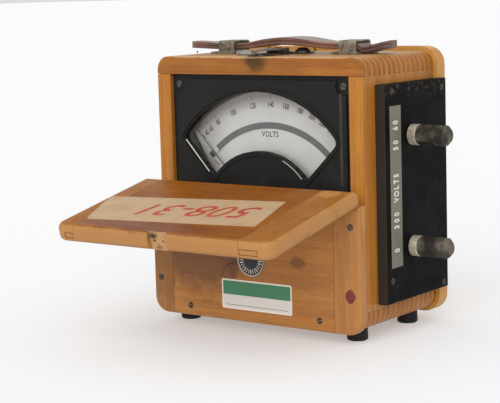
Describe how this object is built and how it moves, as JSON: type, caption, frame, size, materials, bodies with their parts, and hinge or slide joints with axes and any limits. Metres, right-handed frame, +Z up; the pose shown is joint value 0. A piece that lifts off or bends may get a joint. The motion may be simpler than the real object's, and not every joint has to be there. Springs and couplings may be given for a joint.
{
  "type": "portable voltmeter",
  "caption": "Portable moving-iron voltmeter in a comb-jointed wooden case with a drop-down lid, fan-shaped dial window, side terminals and a leather carrying strap.",
  "frame": {"origin": "centre of the whole part's bounding box, at the level the rubber feet stand on", "axes": "+Z up; the dial looks along -Y; the binding posts point along +X"},
  "size_m": [0.224, 0.2227, 0.2108],
  "materials": {
    "varnished_wood": "satin varnish",
    "black_moulding": "matt, dusty",
    "ebonite": "satin",
    "bakelite": "satin gloss",
    "clear_glass": "clear",
    "white_enamel": "matt",
    "mirror_glass": "mirror",
    "brass": "satin",
    "nickel": "worn plating",
    "tarnished_steel": "tarnished",
    "soft_iron": "bare",
    "copper_wire": "enamelled",
    "aluminium": "bare",
    "pointer_paint": "matt",
    "brown_leather": "worn",
    "black_rubber": "matt",
    "ceramic": "matt",
    "cotton_sleeve": "woven"
  },
  "bodies": {
    "case": {"back_board": "varnished_wood", "bottom_board": "varnished_wood", "catch_base": "tarnished_steel", "coil_former": "bakelite", "coil_lead": "cotton_sleeve", "coil_winding": "copper_wire", "damping_chamber": "aluminium", "dial_mirror": "mirror_glass", "dial_plate": "white_enamel", "fixed_iron": "soft_iron", "front_jewel_screw": "brass", "front_left_foot": "black_rubber", "front_right_foot": "black_rubber", "left_hinge_case_leaf": "tarnished_steel", "left_resistor": "ceramic", "left_side_board": "varnished_wood", "left_strap_keeper": "tarnished_steel", "lower_front_board": "varnished_wood", "lower_lead": "cotton_sleeve", "lower_left_clamp": "varnished_wood", "lower_panel_rail": "varnished_wood", "lower_right_clamp": "varnished_wood", "lower_terminal_stud": "brass", "meter_housing": "black_moulding", "meter_panel": "black_moulding", "movement_frame": "aluminium", "rear_jewel_screw": "brass", "rear_left_foot": "black_rubber", "rear_right_foot": "black_rubber", "right_hinge_case_leaf": "tarnished_steel", "right_resistor": "ceramic", "right_side_board": "varnished_wood", "right_strap_keeper": "tarnished_steel", "terminal_panel": "ebonite", "top_board": "varnished_wood", "upper_lead": "cotton_sleeve", "upper_left_panel_block": "varnished_wood", "upper_right_panel_block": "varnished_wood", "upper_terminal_stud": "brass", "window_glass": "clear_glass"},
    "lid": {"lid_board": "varnished_wood", "lid_left_clamp": "varnished_wood", "lid_right_clamp": "varnished_wood", "lid_strike_plate": "tarnished_steel", "left_hinge_lid_leaf": "tarnished_steel", "right_hinge_lid_leaf": "tarnished_steel"},
    "catch": {"catch_tongue": "nickel"},
    "movement": {"pointer": "pointer_paint", "pointer_staff": "soft_iron", "moving_iron": "soft_iron", "damping_vane": "aluminium"},
    "zero_screw": {"zero_screw": "bakelite"},
    "zero_lever": {"zero_lever": "brass", "hairspring": "brass"},
    "upper_collar": {"upper_terminal_collar": "nickel"},
    "upper_knob": {"upper_terminal_knob": "bakelite"},
    "lower_collar": {"lower_terminal_collar": "nickel"},
    "lower_knob": {"lower_terminal_knob": "bakelite"},
    "handle": {"carrying_strap": "brown_leather"}
  },
  "joints": [
    {"name": "lid_hinge", "type": "hinge", "parent": "case", "child": "lid", "pos_m": [-0.01795, -0.00797, 0.0983], "axis": [-1, 0, 0], "range_deg": [0, 102]},
    {"name": "catch_lift", "type": "hinge", "parent": "case", "child": "catch", "pos_m": [-0.01795, 0.03203, 0.2022], "axis": [-1, 0, 0], "range_deg": [0, 55]},
    {"name": "pointer_swing", "type": "hinge", "parent": "case", "child": "movement", "pos_m": [-0.01795, 0.00403, 0.075], "axis": [0, 1, 0], "range_deg": [0, 87], "stiffness_Nm_per_rad": 0.001},
    {"name": "zero_screw_turn", "type": "hinge", "parent": "case", "child": "zero_screw", "pos_m": [-0.01895, 0.00403, 0.1015], "axis": [0, 1, 0], "range_deg": [-30, 30]},
    {"name": "zero_lever_swing", "type": "hinge", "parent": "case", "child": "zero_lever", "pos_m": [-0.01795, 0.00403, 0.075], "axis": [0, 1, 0], "range_deg": [-1.5, 1.5]},
    {"name": "upper_collar_slide", "type": "slide", "parent": "case", "child": "upper_collar", "axis": [1, 0, 0], "range_m": [0, 0.005]},
    {"name": "upper_knob_turn", "type": "hinge", "parent": "upper_collar", "child": "upper_knob", "pos_m": [0.08105, 0.0526, 0.14238], "axis": [1, 0, 0], "range_deg": [0, 1800]},
    {"name": "lower_collar_slide", "type": "slide", "parent": "case", "child": "lower_collar", "axis": [1, 0, 0], "range_m": [0, 0.005]},
    {"name": "lower_knob_turn", "type": "hinge", "parent": "lower_collar", "child": "lower_knob", "pos_m": [0.08105, 0.0526, 0.06334], "axis": [1, 0, 0], "range_deg": [0, 1800]},
    {"name": "handle_lift", "type": "slide", "parent": "case", "child": "handle", "axis": [0, 0, 1], "range_m": [0, 0.0008]}
  ],
  "couplings": [
    {"joint": "zero_lever_swing", "follows": "zero_screw_turn", "ratio": -0.0474},
    {"joint": "upper_knob_turn", "follows": "upper_collar_slide", "rad_per_m": 6283.1},
    {"joint": "lower_knob_turn", "follows": "lower_collar_slide", "rad_per_m": 6283.1}
  ]
}
